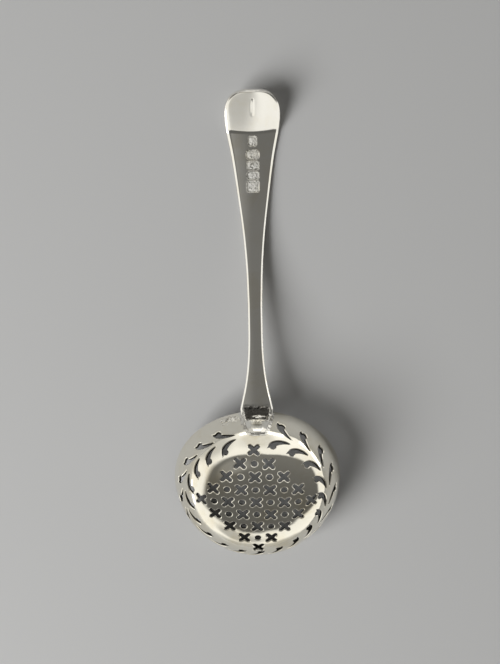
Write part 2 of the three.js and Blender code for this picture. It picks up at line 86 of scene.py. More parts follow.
# Stem
STEM_REACH = 97.08
TIP_WIDTH = 17.2
TIP_ROUND_LENGTH = 7.6
TIP_POWER = 2.7
WAIST_WIDTH = 4.6
WAIST_FROM_TIP = 65.0
FLARE_FROM_TIP = 72.0
SHOULDER_WIDTH = 10.8
FLARE_POWER = 2.6
TOUCH_FROM_TIP = 30.0
TIP_RISE = 2.2
TIP_RISE_POWER = 3.0
TURN_SLOPE = math.radians(30.0)
TURN_FROM_TIP = 11.4
TURN_LENGTH = 1.8
JOINT_SLOPE = math.radians(10.5)
TIP_THICKNESS = 1.6
WAIST_THICKNESS = 2.9
SHOULDER_THICKNESS = 2.6
END_BEND_LENGTH = 4.0
TAPER_SHARES = ((0, 1), (0.055, 0.94), (0.2, 0.69), (0.4, 0.425), (0.6, 0.2), (0.8, 0.06), (1, 0))
BACK_FALL_SHARE = 0.05
BEND_CURVE = 0.7

# Sloping edges of the stem's back: their widths at the tip's end, beside the tip and at the waist,
# and the lengths from the tip where they start to grow and where they stop narrowing
END_EDGE = 0.2
TIP_EDGE = 1.0
WAIST_EDGE = 0.65
EDGE_GROWS_FROM_TIP = 2.0
EDGE_NARROWS_UNTIL = 40.0

# Slope of those edges on the turned tip and past it, where it changes, the share of them that is rounded,
# and the share of the thickness that lies under the line where back and underside meet
TIP_EDGE_SLOPE = 0.4
EDGE_SLOPE = 0.75
SLOPE_CHANGE = (TURN_FROM_TIP - 1.5, TURN_FROM_TIP + 0.5)
EDGE_ROUND_SHARE = 0.16
SIDE_SHARE = 0.25

# How close the stem's sections are, until past the last cartouche
FINE_PITCH = 0.15
FINE_UNTIL = 31.0

# Points across the stem's back: on each edge, over the cartouches and on the flat beside them
EDGE_COLUMNS = 11
PUNCH_COLUMNS = 37
PUNCH_HALF_SPAN = 2.6
FLAT_COLUMNS = 5

# Ridge on the back of the tip
RIDGE_FROM_TIP = 1.9
RIDGE_LENGTH = 4.6
RIDGE_HALF_WIDTH = 0.36
RIDGE_HEIGHT = 0.2

# Drop
DROP_LENGTH = 11.0
DROP_BASE_WIDTH = 10.0
DROP_BASE_THICKNESS = 0.8
DROP_END_THICKNESS = 0.6
DROP_SHARES = ((0, 1), (0.3, 0.92), (0.55, 0.8), (0.75, 0.68), (0.9, 0.56), (0.97, 0.42), (1, 0.2))
DROP_FLANK = 1.6
DROP_FLANK_SHARE = 0.6
DROP_FLANK_POWER = 0.8
DROP_END_SHARE = 0.07
DROP_SUNK = 0.05
DROP_START = 0.25
DROP_STATIONS = 44

# Joint, where the stem's shoulder passes into the drop: its length and how far short of the rim it ends
JOINT_LENGTH = 2.4
JOINT_GAP = 0.7
JOINT_STATIONS = 14

# Painted shade in the crease over the joint: where it fades, by length from the rim, height and share of the
# half width
CREASE_FROM_RIM = (2.6, 0.4)
CREASE_HEIGHTS = (14.6, 16.6)
CREASE_SIDE_SHARES = (0.7, 0.84)

# Solder fillet round the drop: least width and height, what lumps add to them, and its reach under the drop
FILLET_WIDTH = 0.35
FILLET_LUMP_WIDTH = 0.55
FILLET_HEIGHT = 0.28
FILLET_LUMP_HEIGHT = 0.34
FILLET_LAP = 0.25
FILLET_SUNK = 0.06

# Smears of solder by the joint: place aside, length from the rim, half the width and half the length,
# height of the metal that they lie on, and how high their lumps are
SMEAR_STEPS = 40
SMEAR_SUNK = 0.12
SMEARS = (
    (-8.4, 3.2, 3.8, 2.1, 0.02, 0.6),
    (0.6, 4.3, 2.6, 0.9, 0.76, 0.16),
)

# Blank punched cartouches: the sunk edge and the domed field go by the distance from the outline,
# which is negative inside it
PUNCH_DEPTH = 0.3
PUNCH_EDGE = (-0.36, 0.02)
PUNCH_DOME = (-0.3, -1.1)
PUNCH_DOME_SHARE = 0.75
BURR_HEIGHT = 0.05
BURR_WIDTH = 0.12

# Each cartouche: distance from the tip, width, length, corner radius
PUNCHES = (
    (14.25, 2.9, 3.4, 1.1),
    (18.4, 4.2, 3.3, 1.3),
    (21.75, 4.0, 2.9, 0.7),
    (24.8, 4.0, 2.6, 0.9),
    (28.2, 3.9, 3.8, 0.8),
)

# Sizes that follow from the ones above
RIM_HALF_PLAN = BOWL_LENGTH / 2 * math.cos(REST_TILT)
RIM_LIFT = BOWL_LENGTH / 2 * math.sin(REST_TILT)
NEAR_RIM_HEIGHT = 2 * RIM_LIFT
NEAR_RIM_Y = BOWL_CENTRE_Y + RIM_HALF_PLAN
TIP_Y = NEAR_RIM_Y + STEM_REACH
MEAN_RADIUS = (BOWL_WIDTH + BOWL_LENGTH) / 4
REACHES = np.sin(np.linspace(0, math.pi / 2, 4001))


def dome_height(reach):
    """Height of the bowl's back over its rim. Reach is the share of the way from the middle to the rim."""
    return BOWL_DEPTH * np.clip(1 - reach ** CROWN_POWER, 0, None) ** (1 / WALL_POWER)


# Length over the bowl's back from its middle to each reach
ARCS = np.concatenate(
    [[0.0], np.cumsum(np.hypot(MEAN_RADIUS * np.diff(REACHES), np.diff(dome_height(REACHES))))]
)
RIM_ARC = float(ARCS[-1])


def to_rest(points):
    """Turns points or directions from the bowl's own frame to the way the spoon lies."""
    c, s = math.cos(REST_TILT), math.sin(REST_TILT)
    x, y, z = points[:, 0], points[:, 1], points[:, 2]
    return np.stack([x, y * c - z * s, y * s + z * c], 1)


def on_back(places, height=0.0):
    """Points of the bowl's metal, and the directions square to it.

    A place is a length over the back, in two directions. The height is measured off the back.
    """
    places = np.asarray(places, float).reshape(-1, 2)
    reach = np.interp(np.hypot(places[:, 0], places[:, 1]), ARCS, REACHES)
    angle = np.arctan2(places[:, 1], places[:, 0])
    cos, sin = np.cos(angle), np.sin(angle)
    half_width, half_length = BOWL_WIDTH / 2, BOWL_LENGTH / 2
    egg = 1 + BOWL_EGG_SHARE * reach * sin
    points = np.stack([half_width * reach * cos * egg, half_length * reach * sin, dome_height(reach)], 1)
    steep = BOWL_DEPTH * CROWN_POWER * reach ** (CROWN_POWER - 1) / WALL_POWER
    level = np.clip(1 - reach ** CROWN_POWER, 0, None) ** (1 - 1 / WALL_POWER)
    aside = steep * cos / half_width / egg
    ahead = steep * sin / half_length - aside * BOWL_EGG_SHARE * half_width * reach * cos / half_length
    up = np.stack([aside, ahead, level], 1)
    up /= np.linalg.norm(up, axis=1, keepdims=True)
    lifted = to_rest(points + up * np.reshape(height, (-1, 1)))
    return lifted + [0, BOWL_CENTRE_Y, RIM_LIFT], to_rest(up)


def beside_axis(aside, over_back):
    """Places on the bowl's near wall, a true distance aside from the spoon's axis."""
    aside, over_back = np.broadcast_arrays(np.asarray(aside, float), np.asarray(over_back, float))
    reach = np.interp(over_back, ARCS, REACHES)
    cosine = aside / (BOWL_WIDTH / 2 * reach * (1 + BOWL_EGG_SHARE * reach))
    return np.stack([over_back * cosine, over_back * np.sqrt(np.clip(1 - cosine ** 2, 0, None))], -1)


def smooth(low, high, x):
    """A soft rise from 0 at low to 1 at high, and level beyond them."""
    t = np.clip((x - low) / (high - low), 0, 1)
    return t * t * (3 - 2 * t)


def along(pairs, x):
    """Value at x on a smooth line through (x, value) pairs."""
    xs, ys = np.array(pairs, float).T
    slopes = np.gradient(ys, xs)
    slopes[1:-1] = (ys[2:] - ys[:-2]) / (xs[2:] - xs[:-2])
    x = np.clip(x, xs[0], xs[-1])
    i = np.clip(np.searchsorted(xs, x), 1, len(xs) - 1)
    span = xs[i] - xs[i - 1]
    t = (x - xs[i - 1]) / span
    rise = ys[i - 1] + (ys[i] - ys[i - 1]) * t * t * (3 - 2 * t)
    return rise + span * t * (1 - t) * (slopes[i - 1] * (1 - t) - slopes[i] * t)


def rough_value(x, y, z=0.0):
    """Smooth noise at a spot, between about -1 and 1."""
    return noise.noise(Vector((x, y, z)))


# Hole outlines


def arc(x, y, radius, start, end, steps):
    turn = np.linspace(start, end, steps + 1)
    return np.stack([x + radius * np.cos(turn), y + radius * np.sin(turn)], 1)


def bezier(points, steps):
    t = np.linspace(0, 1, steps + 1)[:, None]
    rows = [np.array(point, float) + 0 * t for point in points]
    while len(rows) > 1:
        rows = [near * (1 - t) + far * t for near, far in zip(rows, rows[1:])]
    return rows[0]


def cross_outline():
    """A saltire cross with round arms."""
    quarter = np.concatenate(
        [
            [[CROSS_NOTCH, 0.0]],
            arc(CROSS_ARM_REACH, CROSS_ARM_REACH, CROSS_ARM_HALF_WIDTH, -math.pi / 4, 3 * math.pi / 4, 9),
        ]
    )
    turned = []
    for arm in range(4):
        c, s = math.cos(arm * math.pi / 2), math.sin(arm * math.pi / 2)
        turned.append(quarter @ np.array([[c, s], [-s, c]]))
    return np.concatenate(turned)


def round_outline():
    return arc(0, 0, ROUND_HOLE_RADIUS, 0, 2 * math.pi, 28)[:-1]


def leaf_outline():
    """One leaf, from its pointed tail over its arched back and round its lobe."""
    arch = bezier(LEAF_ARCH_SHARES, 18)
    lobe = arc(LEAF_LOBE_SHARES[0], LEAF_LOBE_SHARES[1], LEAF_LOBE_RADIUS_SHARE, 0, -math.pi, 9)
    underside = bezier([lobe[-1], LEAF_UNDERSIDE_SHARES, (0, 0)], 9)[1:-1]
    return np.concatenate([arch, lobe, underside]) * LEAF_LENGTH


def lattice_outlines():
    """Crosses and round holes by turns, in a diamond of rows."""
    middle = (CROSS_ROWS - 1) // 2
    c, s = math.cos(ROW_TURN), math.sin(ROW_TURN)
    outlines = []
    for row in range(-middle, middle + 1):
        last = middle - abs(row)
        for column in range(-last, last + 1):
            shape = cross_outline() if (column + last) % 2 == 0 else round_outline()
            up = row * ROW_PITCH
            placed = shape + [column * HALF_COLUMN - up * math.tan(COLUMN_LEAN), up]
            outlines.append(placed @ np.array([[c, s], [-s, c]]) + LATTICE_SHIFT)
    return outlines


def wreath_outlines():
    """Pairs of leaves along the branch that runs round the crown."""
    branch = RIM_ARC - BRANCH_INSET
    radius = MEAN_RADIUS * float(np.interp(branch, ARCS, REACHES))
    outlines = []
    for pair in range(LEAF_PAIRS):
        start = FIRST_LEAF + pair * LEAF_PITCH
        for side, (at_first, at_last) in zip((1, -1), LEAF_SPREADS):
            spread = math.radians(at_first + (at_last - at_first) * pair / (LEAF_PAIRS - 1))
            x, y = leaf_outline().T
            forward = x * math.cos(spread) + y * math.sin(spread)
            aside = LEAF_TAIL_GAP / 2 + x * math.sin(spread) - y * math.cos(spread)
            turn = start + forward / radius
            out = branch + side * aside
            outlines.append(np.stack([out * np.cos(turn), out * np.sin(turn)], 1) + WREATH_SHIFT)
    return outlines


def counter_clockwise(outline):
    x, y = outline.T
    area = np.sum(x * np.roll(y, -1) - np.roll(x, -1) * y)
    return outline if area > 0 else outline[::-1]


def outward(outline):
    """Directions out of the hole, into the metal, with the length that keeps an even distance."""
    edge = np.roll(outline, -1, 0) - outline
    edge /= np.linalg.norm(edge, axis=1, keepdims=True)
    out = np.stack([edge[:, 1], -edge[:, 0]], 1)
    both = out + np.roll(out, 1, 0)
    length = np.linalg.norm(both, axis=1, keepdims=True)
    return both / length / np.clip(length / 2, 0.7, None)


def inside(points, outline):
    """Which of the points lie within the outline."""
    x, y = points[:, 0][:, None], points[:, 1][:, None]
    x0, y0 = outline.T
    x1, y1 = np.roll(outline, -1, 0).T
    crosses = (y0 > y) != (y1 > y)
    slope = (x1 - x0) / np.where(y1 == y0, 1e-12, y1 - y0)
    return np.sum(crosses & (x < x0 + (y - y0) * slope), 1) % 2 == 1


# Meshes


def make_piece(name, points, faces, material, normals=None, marks=None):
    """A smooth mesh piece in metres. Marks are named values at its points that the material reads."""
    mesh = bpy.data.meshes.new(name)
    mesh.from_pydata((np.asarray(points) * MM).tolist(), [], faces)
    for mark, values in (marks or {}).items():
        mesh.attributes.new(mark, "FLOAT", "POINT").data.foreach_set("value", np.asarray(values, np.float32))
    mesh.polygons.foreach_set("use_smooth", [True] * len(mesh.polygons))
    if normals is not None:
        mesh.normals_split_custom_set_from_vertices(np.asarray(normals).tolist())
    mesh.materials.append(material)
    piece = bpy.data.objects.new(name, mesh)
    bpy.context.scene.collection.objects.link(piece)
    return piece


def ring_quads(near, far):
    """Faces between two closed rows of point numbers."""
    return list(zip(near, near[1:] + near[:1], far[1:] + far[:1], far))


def closed_skin(rows):
    """Points and faces of a closed body through rows of points, with a flat face at each end."""
    around = len(rows[0])
    numbers = [list(range(start, start + around)) for start in range(0, around * len(rows), around)]
    faces = []
    for near, far in zip(numbers, numbers[1:]):
        faces += ring_quads(near, far)
    faces += [tuple(numbers[0][::-1]), tuple(numbers[-1])]
    return np.concatenate(rows), faces


def sheet_grid(edges):
    """Places for the bowl's smooth surface between its holes."""
    rings = [np.zeros((1, 2))]
    last = RIM_ARC - RIM_ROUND - GRID_PITCH / 2
    count = int(last / GRID_PITCH)
    for ring in range(1, count + 1):
        out = last * ring / count
        steps = max(6, int(2 * math.pi * out / GRID_PITCH))
        turn = (np.arange(steps) + (ring % 2) / 2) * 2 * math.pi / steps
        rings.append(np.stack([out * np.cos(turn), out * np.sin(turn)], 1))
    places = np.concatenate(rings)
    keep = np.ones(len(places), bool)
    for edge in edges:
        near = np.all((places > edge.min(0) - 1) & (places < edge.max(0) + 1), 1)
        spots = places[near]
        gap = np.linalg.norm(spots[:, None] - edge[None], axis=2).min(1)
        keep[np.flatnonzero(near)[inside(spots, edge) | (gap < CLEAR_OF_EDGE)]] = False
    return places[keep]


def rim_profile():
    """The rounded rim, from its outer face to its inner one: set-back, height and turn."""
    turns = np.linspace(0, math.pi / 2, 4)
    outer = [(RIM_ROUND * (1 - math.sin(t)), -RIM_ROUND * (1 - math.cos(t)), t) for t in turns]
    return outer + [(back, -SHEET - height, math.pi - t) for back, height, t in outer[::-1]]


def hole_profile():
    """The burnished bevel of a hole and its wall, from the outer face to the inner one."""
    shares = (
        (1.0, 0.0, 0),
        (0.93, 0.03, 27),
        (0.62, 0.22, 33),
        (0.28, 0.46, 38),
        (0.08, 0.68, 56),
        (0.0, 1.0, 88),
    )
    outer = [(HOLE_BEVEL * back, -HOLE_BEVEL * fall, math.radians(turn)) for back, fall, turn in shares]
    inner = [(0.0, 0.12 - SHEET, math.radians(92)), (HOLE_BEVEL, -SHEET, math.pi)]
    return outer + inner


def flat_pattern(edges, rim):
    """The bowl's metal laid flat: its places, its triangles, and the numbers round each hole and the rim."""
    places = np.concatenate([*edges, rim, sheet_grid(edges)])
    ends = np.cumsum([len(line) for line in [*edges, rim]]).tolist()
    loops = [list(range(start, end)) for start, end in zip([0, *ends], ends)]
    spots = [Vector(place) for place in places.tolist()]
    cut = geometry.delaunay_2d_cdt(spots, [], loops[:-1], 0, 1e-9, True)
    flat, _, triangles, sources, _, holes = cut
    number = {old: new for new, olds in enumerate(sources) for old in olds}
    metal = [tuple(triangle) for triangle, within in zip(triangles, holes) if not within]
    return np.array([tuple(spot) for spot in flat]), metal, [[number[i] for i in loop] for loop in loops]


def rounded_rows(wall, into_metal, profile):
    """Rows over an edge of the bowl's metal, from its back to its inner face: points, normals and turn."""
    rows = []
    for back, height, turn in profile[1:-1]:
        place = wall + into_metal * back
        spot, up = on_back(place, height)
        ahead, _ = on_back(place - into_metal * 0.02, height)
        side = ahead - spot
        side /= np.linalg.norm(side, axis=1, keepdims=True)
        rows.append((spot, up * math.cos(turn) + side * math.sin(turn), np.full(len(spot), turn)))
    return rows


def pierced_bowl(material):
    """The bowl: its back and its inner face, joined round each hole and round the rim."""
    walls = [counter_clockwise(outline) for outline in lattice_outlines() + wreath_outlines()]
    rim_steps = int(2 * math.pi * RIM_ARC / GRID_PITCH)
    rim = arc(0, 0, RIM_ARC - RIM_ROUND, 0, 2 * math.pi, rim_steps)[:-1]
    rim_out = rim / np.linalg.norm(rim, axis=1, keepdims=True)
    flat, metal, loops = flat_pattern([wall + outward(wall) * HOLE_BEVEL for wall in walls], rim)
    count = len(flat)
    top, up = on_back(flat)
    under, _ = on_back(flat, -SHEET)
    rows = [(top, up, np.zeros(count)), (under, -up, np.full(count, math.pi))]
    faces = metal + [tuple(i + count for i in reversed(triangle)) for triangle in metal]
    edges = [(wall, outward(wall), hole_profile()) for wall in walls]
    edges.append((rim_out * RIM_ARC, -rim_out, rim_profile()))
    total = 2 * count
    for loop, edge in zip(loops, edges):
        rings = [loop]
        for row in rounded_rows(*edge):
            rows.append(row)
            rings.append(list(range(total, total + len(loop))))
            total += len(loop)
        rings.append([i + count for i in loop])
        # The metal lies round a hole but inside the rim, so the rim is joined from its inner face to its back
        if loop is loops[-1]:
            rings.reverse()
        for near, far in zip(rings, rings[1:]):
            faces += ring_quads(near, far)
    points, normals, turns = (np.concatenate(parts) for parts in zip(*rows))
    # The material paints shade on the hole walls and the inner face by these marks, and makes them rougher
    marks = {"cut_wall": np.abs(np.cos(turns)) < 0.1, "inner_face": np.cos(turns) < 0}
    return make_piece("pierced_bowl_sheet", points, faces, material, normals, marks)


def stem_half_width(from_tip):
    """Half the stem's width: round at the tip, tapering to the waist, and flaring to the shoulder."""
    tip, waist, shoulder = TIP_WIDTH / 2, WAIST_WIDTH / 2, SHOULDER_WIDTH / 2
    if from_tip < TIP_ROUND_LENGTH:
        return tip * (1 - (1 - from_tip / TIP_ROUND_LENGTH) ** TIP_POWER) ** (1 / TIP_POWER)
    if from_tip < WAIST_FROM_TIP:
        way = (from_tip - TIP_ROUND_LENGTH) / (WAIST_FROM_TIP - TIP_ROUND_LENGTH)
        return waist + (tip - waist) * float(along(TAPER_SHARES, way))
    flare = max(from_tip - FLARE_FROM_TIP, 0) / (STEM_REACH - FLARE_FROM_TIP)
    return waist + (shoulder - waist) * flare ** FLARE_POWER


def turned_rise(from_tip):
    """How far the turned-up tip stands over the line of the stem."""
    past = TURN_FROM_TIP + TURN_LENGTH / 2 - from_tip
    bend = min(max(past, 0), TURN_LENGTH)
    return math.tan(TURN_SLOPE) * (bend ** 2 / (2 * TURN_LENGTH) + max(past - TURN_LENGTH, 0))


def stem_height(from_tip):
    """Height of the stem's underside, which touches the table at one place and rises from it both ways."""
    if from_tip < TOUCH_FROM_TIP:
        return TIP_RISE * (1 - from_tip / TOUCH_FROM_TIP) ** TIP_RISE_POWER + turned_rise(from_tip)
    span = STEM_REACH - TOUCH_FROM_TIP
    way = (from_tip - TOUCH_FROM_TIP) / span
    end_rise = math.tan(JOINT_SLOPE) * span
    return way ** 2 * (3 * NEAR_RIM_HEIGHT - end_rise) + way ** 3 * (end_rise - 2 * NEAR_RIM_HEIGHT)


def stem_up(from_tip):
    """The direction of the stem's thickness, which turns to the bowl's wall at the stem's end."""
    slope = (stem_height(from_tip + 0.1) - stem_height(from_tip - 0.1)) / 0.2
    square = np.array([0, slope, 1]) / math.hypot(slope, 1)
    wall = np.array([0.0, -math.sin(REST_TILT), math.cos(REST_TILT)])
    bend = float(smooth(STEM_REACH - END_BEND_LENGTH, STEM_REACH, from_tip))
    up = square * (1 - bend) + wall * bend
    return up / np.linalg.norm(up)


def stem_edge(from_tip):
    """Width of the sloping edge along the stem's back."""
    if from_tip < TIP_ROUND_LENGTH:
        grown = float(smooth(EDGE_GROWS_FROM_TIP, TIP_ROUND_LENGTH, from_tip))
        return END_EDGE + (TIP_EDGE - END_EDGE) * grown
    return TIP_EDGE + (WAIST_EDGE - TIP_EDGE) * float(smooth(TIP_ROUND_LENGTH, EDGE_NARROWS_UNTIL, from_tip))


def stem_thickness(from_tip):
    to_waist = float(smooth(TIP_ROUND_LENGTH, WAIST_FROM_TIP, from_tip))
    body = TIP_THICKNESS + (WAIST_THICKNESS - TIP_THICKNESS) * to_waist
    return body + (SHOULDER_THICKNESS - body) * float(smooth(FLARE_FROM_TIP, STEM_REACH, from_tip))


def punch_depth(x, from_tip):
    """How deep the cartouches are at a spot, and a mask that is 1 inside them."""
    depth = np.zeros_like(x)
    mask = np.zeros_like(x)
    for place, width, length, corner in PUNCHES:
        qx = np.abs(x) - (width / 2 - corner)
        qy = abs(from_tip - place) - (length / 2 - corner)
        gap = np.hypot(np.clip(qx, 0, None), max(qy, 0)) + np.minimum(np.maximum(qx, qy), 0) - corner
        sunk = 1 - smooth(*PUNCH_EDGE, gap)
        swell = PUNCH_DOME_SHARE * smooth(*PUNCH_DOME, gap)
        burr = BURR_HEIGHT * np.exp(-(((gap - BURR_WIDTH) / BURR_WIDTH) ** 2))
        depth = np.maximum(depth, sunk * PUNCH_DEPTH * (1 - swell)) - burr
        mask = np.maximum(mask, sunk)
    return depth, mask


def stem_section(half, edge, fall):
    """Points across the back, from side to side: x, and the share of its height that the metal has there.

    The edge on each side slopes down by the share called fall, and its outer part is rounded.
    """
    way = np.linspace(0, 1, EDGE_COLUMNS, endpoint=False) ** 1.2
    side_x = half - edge * way
    side_share = np.sqrt(1 - (1 - np.clip(way / EDGE_ROUND_SHARE, 0, 1)) ** 2)
    side_share *= 1 - min(fall, 0.95) * (1 - way)
    inner = half - edge
    middle = np.linspace(-1, 1, PUNCH_COLUMNS) * min(PUNCH_HALF_SPAN, inner * 0.8)
    flat = np.linspace(middle[-1], inner, FLAT_COLUMNS + 2)[1:-1]
    x = np.concatenate([-side_x, -flat[::-1], middle, flat, side_x[::-1]])
    share = np.concatenate([side_share, np.ones(PUNCH_COLUMNS + 2 * FLAT_COLUMNS), side_share[::-1]])
    return x, share


def stem_rails(from_tip):
    """One section of the stem: points of its back, points of its underside, and the cartouche mask."""
    half = stem_half_width(from_tip)
    thickness = stem_thickness(from_tip)
    edge = min(stem_edge(from_tip), half / 2)
    side = SIDE_SHARE * thickness
    past_turn = float(smooth(*SLOPE_CHANGE, from_tip))
    slope = TIP_EDGE_SLOPE + (EDGE_SLOPE - TIP_EDGE_SLOPE) * past_turn
    x, share = stem_section(half, edge, slope * edge / (thickness - side - BACK_FALL_SHARE * half))
    end = min(from_tip / END_EDGE, 1)
    left = math.sqrt(max(1 - (1 - end) ** 2, 1e-4))
    crown = BACK_FALL_SHARE * x ** 2 / half
    late = BEND_CURVE * (2 * x / TIP_WIDTH) ** 2
    bend = np.array([turned_rise(from_tip + delay) for delay in late]) - turned_rise(from_tip)
    ridge_way = np.clip((from_tip - RIDGE_FROM_TIP) / RIDGE_LENGTH, 0, 1)
    ridge = RIDGE_HEIGHT * math.sin(math.pi * ridge_way) ** 0.7 * np.exp(-((x / RIDGE_HALF_WIDTH) ** 2))
    depth, mask = punch_depth(x, from_tip)
    high = side + (share * (thickness - side - crown) + ridge) * left - depth + bend
    low = side - share * side * left + bend
    base = np.array([0, TIP_Y - from_tip, stem_height(from_tip)])
    up = stem_up(from_tip)
    back = base + high[:, None] * up
    under = base + low[:, None] * up
    back[:, 0], under[:, 0] = x, x
    return back, under, mask


def drop_rails(way):
    """One section of the drop, on the bowl's back."""
    half = DROP_BASE_WIDTH / 2 * float(along(DROP_SHARES, way))
    thickness = DROP_BASE_THICKNESS + (DROP_END_THICKNESS - DROP_BASE_THICKNESS) * way
    past = max(way - 1 + DROP_END_SHARE, 0) / DROP_END_SHARE
    end = math.sqrt(max(1 - past ** 2, 0.02))
    flank = min(DROP_FLANK, half * DROP_FLANK_SHARE)
    x, _ = stem_section(half, flank, 0)
    share = 1 - (1 - np.clip((half - np.abs(x)) / flank, 0, 1)) ** DROP_FLANK_POWER
    places = beside_axis(x, RIM_ARC - way * DROP_LENGTH)
    back, _ = on_back(places, thickness * share * end)
    under, _ = on_back(places, -DROP_SUNK)
    return back, under


def stem_stations():
    """Lengths from the tip at which the stem has a section, closer round the tip and the cartouches."""
    tip = TIP_ROUND_LENGTH * (1 - np.cos(np.linspace(0.02, math.pi / 2, 44)))
    fine = np.arange(TIP_ROUND_LENGTH + FINE_PITCH, FINE_UNTIL, FINE_PITCH)
    rest = np.linspace(FINE_UNTIL + 0.2, STEM_REACH - JOINT_LENGTH, 90)
    return [*tip, *fine, *rest]


def joint_sections():
    """Sections of the joint: the stem's back turns into the drop's, and its underside meets the wall."""
    sections = []
    for way in np.arange(1, JOINT_STATIONS) / JOINT_STATIONS:
        back, under, mask = stem_rails(STEM_REACH - JOINT_LENGTH + (JOINT_LENGTH - JOINT_GAP) * way)
        over, _ = drop_rails(DROP_START)
        _, on_wall = drop_rails(DROP_START * way)
        turn_up = float(smooth(0.7, 1.0, way))
        reach_wall = float(smooth(0.0, 0.6, way))
        back = back * (1 - turn_up) + over * turn_up
        under = under * (1 - reach_wall) + on_wall * reach_wall
        sections.append((back, under, mask))
    return sections


def drop_sections():
    """Sections of the drop, closer together towards its end."""
    sections = []
    for way in np.sin(np.linspace(math.asin(DROP_START), math.pi / 2, DROP_STATIONS)):
        back, under = drop_rails(way)
        sections.append((back, under, np.zeros(len(back))))
    return sections


def stem_and_drop(material):
    """The stem and its drop as one forging, with the cartouches marked and the joint's crease, where the
    material paints shade.
    """
    sections = [stem_rails(from_tip) for from_tip in stem_stations()] + joint_sections() + drop_sections()
    rows = [np.concatenate([back, under[-2:0:-1]]) for back, under, _ in sections]
    points, faces = closed_skin(rows)
    punched = np.concatenate([np.concatenate([mask, np.zeros(len(mask) - 2)]) for _, _, mask in sections])
    beside = np.concatenate([np.abs(row[:, 0]) / np.abs(row[:, 0]).max() for row in rows])
    # Where the material paints shade over the joint's crease
    before = smooth(*CREASE_FROM_RIM, points[:, 1] - NEAR_RIM_Y)
    after = 1 - smooth(*CREASE_HEIGHTS, points[:, 2])
    crease = before * after * (1 - smooth(*CREASE_SIDE_SHARES, beside))
    return make_piece("forged_stem", points, faces, material, None, {"punched": punched, "crease": crease})


def add_smear(points, faces, aside, from_rim, half_width, half_length, base, height):
    """A ragged skin of solder: only its lumps stand clear of the metal, the rest lies inside it."""
    start = len(points)
    middle = RIM_ARC - from_rim
    shares = [2 * i / SMEAR_STEPS - 1 for i in range(SMEAR_STEPS + 1)]
    spots = [(half_width * across, half_length * ahead) for across in shares for ahead in shares]
    lifts = []
    for x, y in spots:
        coarse = rough_value((aside + x) * 0.8, (middle + y) * 1.5, 3)
        fine = rough_value((aside + x) * 2.2, (middle + y) * 3.2, 5)
        lump = coarse + 0.7 * fine
        out = (x / half_width) ** 2 + (y / half_length) ** 2
        lifts.append(base + height * (0.35 + lump - 1.1 * out))
    spots = np.array(spots) + [aside, middle]
    skin, _ = on_back(beside_axis(spots[:, 0], spots[:, 1]), np.maximum(lifts, base - SMEAR_SUNK))
    points.extend(skin.tolist())
    line = SMEAR_STEPS + 1
    for i in range(SMEAR_STEPS):
        for k in range(SMEAR_STEPS):
            a = start + i * line + k
            faces.append((a, a + line, a + line + 1, a + 1))


def solder_bead(material):
    """Lumpy fillet down one side of the drop, round its end and up the other, and the smears beside it."""
    way = np.sin(np.linspace(0, math.pi / 2, 90))
    half = DROP_BASE_WIDTH / 2 * along(DROP_SHARES, way)
    arcs = RIM_ARC - way * DROP_LENGTH
    line = np.concatenate([np.stack([half, arcs], 1), np.stack([-half, arcs], 1)[::-1]])
    step = np.gradient(line, axis=0)
    step /= np.linalg.norm(step, axis=1, keepdims=True)
    out = np.stack([-step[:, 1], step[:, 0]], 1)
    shares = np.linspace(0, 1, 9)
    rows = []
    for k, (place, side) in enumerate(zip(line, out)):
        lump = 0.5 + 0.5 * rough_value(place[0] * 1.1 + 40, place[1] * 1.1)
        width = FILLET_WIDTH + FILLET_LUMP_WIDTH * lump
        height = FILLET_HEIGHT + FILLET_LUMP_HEIGHT * lump
        taper = float(smooth(0, 5, min(k, len(line) - 1 - k))) * 0.9 + 0.1
        gaps = -FILLET_LAP + (width + FILLET_LAP) * shares
        spots = place + side * gaps[:, None]
        grain = np.array([rough_value(x * 3, y * 3, 7) for x, y in spots])
        heights = height * taper * (1 - shares) ** 1.7 + 0.02 + 0.05 * grain * (1 - shares)
        places = beside_axis(spots[:, 0], spots[:, 1])
        top, _ = on_back(places, heights)
        low, _ = on_back(places, -FILLET_SUNK)
        rows.append(np.concatenate([top, low[::-1]]))
    points, faces = closed_skin(rows)
    points = points.tolist()
    # Each row runs round the fillet the other way than round the stem, so its faces are turned over
    faces = [(face[0], *face[:0:-1]) for face in faces]
    for smear in SMEARS:
        add_smear(points, faces, *smear)
    return make_piece("solder_fillet", points, faces, material)


# Finishes


def group_sockets(group, inputs, outputs):
    """Names a group's sockets, and gives the nodes that its inputs come from and its outputs go to."""
    for name, kind, value in inputs:
        socket = group.interface.new_socket(name=name, in_out="INPUT", socket_type=kind)
        socket.default_value = value
    for name, kind in outputs:
        group.interface.new_socket(name=name, in_out="OUTPUT", socket_type=kind)
    return group.nodes.new("NodeGroupInput"), group.nodes.new("NodeGroupOutput")


def feed(tree, value, socket):
    """Sets a socket to a plain value, or links it to the socket that the value comes from."""
    if isinstance(value, bpy.types.NodeSocket):
        tree.links.new(value, socket)
    else:
        socket.default_value = value


def node(tree, kind, values=None, **settings):
    """A new node with its settings, and what its named sockets are fed."""
    made = tree.nodes.new(kind)
    for key, value in settings.items():
        setattr(made, key, value)
    for key, value in (values or {}).items():
        feed(tree, value, made.inputs[key])
    return made


def maths(tree, operation, *values, clamp=False):
    """The result of one sum, whose values are numbers or sockets."""
    made = node(tree, "ShaderNodeMath", operation=operation, use_clamp=clamp)
    for value, socket in zip(values, made.inputs):
        feed(tree, value, socket)
    return made.outputs[0]


def blend(tree, share, a, b):
    """A value that goes from a to b as the share goes from 0 to 1."""
    return maths(tree, "ADD", a, maths(tree, "MULTIPLY", share, maths(tree, "SUBTRACT", b, a)))


def span(tree, value, low, high, at_low, at_high):
    """A value that goes evenly from one number to another while its input goes from low to high."""
    values = {"Value": value, "From Min": low, "From Max": high, "To Min": at_low, "To Max": at_high}
    return node(tree, "ShaderNodeMapRange", values).outputs["Result"]


